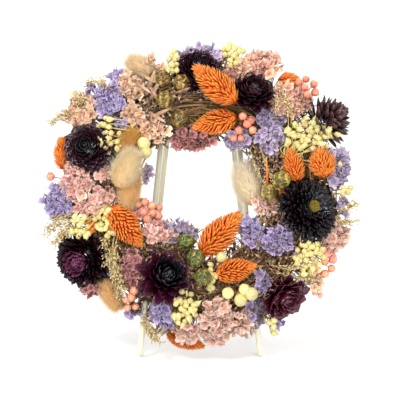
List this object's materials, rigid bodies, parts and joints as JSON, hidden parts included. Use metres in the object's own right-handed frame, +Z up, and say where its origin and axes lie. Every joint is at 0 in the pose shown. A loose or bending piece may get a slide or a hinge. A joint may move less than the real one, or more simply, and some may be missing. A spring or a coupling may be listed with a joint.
{
  "type": "harvest door wreath",
  "caption": "Ring of dried harvest flowers, grasses and seed heads on straw, leaning on a folding wire display easel that it lifts off.",
  "frame": {"origin": "on the floor, under the middle of the whole object's box", "axes": "+Z up, +X to the viewer's right, +Y from the flowers' face back to the easel's rear leg"},
  "size_m": [0.2492, 0.1137, 0.2459],
  "materials": {
    "cream_wire": "cream plastic-coated steel wire, satin",
    "straw": "bound dry straw, matt",
    "binding": "dark green lacquered florist's wire, satin",
    "dry_stems": "dry grey-brown stems, matt",
    "dark_bracts": "stiff papery bracts, blackish plum, slight sheen",
    "purple_bracts": "stiff papery bracts, magenta purple, slight sheen",
    "orange_canary": "dyed canary grass scales, matt",
    "cream_tail": "soft cream to peach grass fur",
    "amber_tail": "soft amber grass fur",
    "seed_ball": "wrinkled olive and green seed heads, satin",
    "yellow_pod": "pale yellow flax pods and buds, matt",
    "coral_berry": "coral pink dried berries, matt",
    "pink_statice": "crinkled pink statice, matt",
    "mauve_statice": "faded mauve statice, matt",
    "lilac_statice": "crinkled lilac statice, matt"
  },
  "bodies": {
    "easel_frame": {"left_foot": "cream_wire", "right_foot": "cream_wire", "left_upright": "cream_wire", "right_upright": "cream_wire", "top_arch": "cream_wire", "left_shelf_arm": "cream_wire", "right_shelf_arm": "cream_wire", "hinge_bar": "cream_wire"},
    "rear_leg": {"hinge_sleeve": "cream_wire", "left_rear_leg": "cream_wire", "right_rear_leg": "cream_wire", "floor_bar": "cream_wire"},
    "wreath": {"straw_ring": "straw", "binding_wire": "binding", "hanging_loop": "binding", "stem_bundle": "dry_stems", "strawflower_left": "dark_bracts", "strawflower_top": "dark_bracts", "strawflower_top_right": "dark_bracts", "strawflower_right_top": "dark_bracts", "strawflower_right": "dark_bracts", "strawflower_low_right": "purple_bracts", "strawflower_low": "purple_bracts", "strawflower_low_left": "dark_bracts", "canary_top": "orange_canary", "canary_inner_top": "orange_canary", "canary_inner_low": "orange_canary", "canary_low": "orange_canary", "canary_inner_left": "orange_canary", "canary_bottom": "orange_canary", "canary_right": "orange_canary", "bunny_tail_left": "cream_tail", "bunny_tail_top_left": "cream_tail", "bunny_tail_inner_right": "cream_tail", "bunny_tail_low_left": "amber_tail", "bunny_tail_amber": "amber_tail", "seed_balls_top": "seed_ball", "seed_balls_right": "seed_ball", "seed_balls_low": "seed_ball", "yellow_buds_low": "yellow_pod", "coral_berries_top": "coral_berry", "coral_berries_left": "coral_berry", "flax_pods_left": "yellow_pod", "flax_pods_far_left": "yellow_pod", "flax_pods_right": "yellow_pod", "flax_pods_low_right": "yellow_pod", "flax_pods_low": "yellow_pod", "pink_statice_upper_left": "pink_statice", "pink_statice_top_left": "pink_statice", "pink_statice_left": "pink_statice", "pink_statice_right": "pink_statice", "pink_statice_upper_right": "pink_statice", "pink_statice_bottom": "pink_statice", "mauve_statice_low_left": "mauve_statice", "lilac_statice_upper_left": "lilac_statice", "lilac_statice_left": "lilac_statice", "lilac_statice_right": "lilac_statice", "lilac_statice_inner_right": "lilac_statice", "lilac_statice_low_right": "lilac_statice", "lilac_statice_bottom": "lilac_statice"}
  },
  "joints": [
    {"name": "rear_leg_fold", "type": "hinge", "parent": "easel_frame", "child": "rear_leg", "pos_m": [0.002, 0.03098, 0.18108], "axis": [-1, 0, 0], "range_deg": [0, 17.5]},
    {"name": "wreath_lift", "type": "slide", "parent": "easel_frame", "child": "wreath", "axis": [0, 0.2079, 0.9781], "range_m": [0, 0.06]}
  ]
}
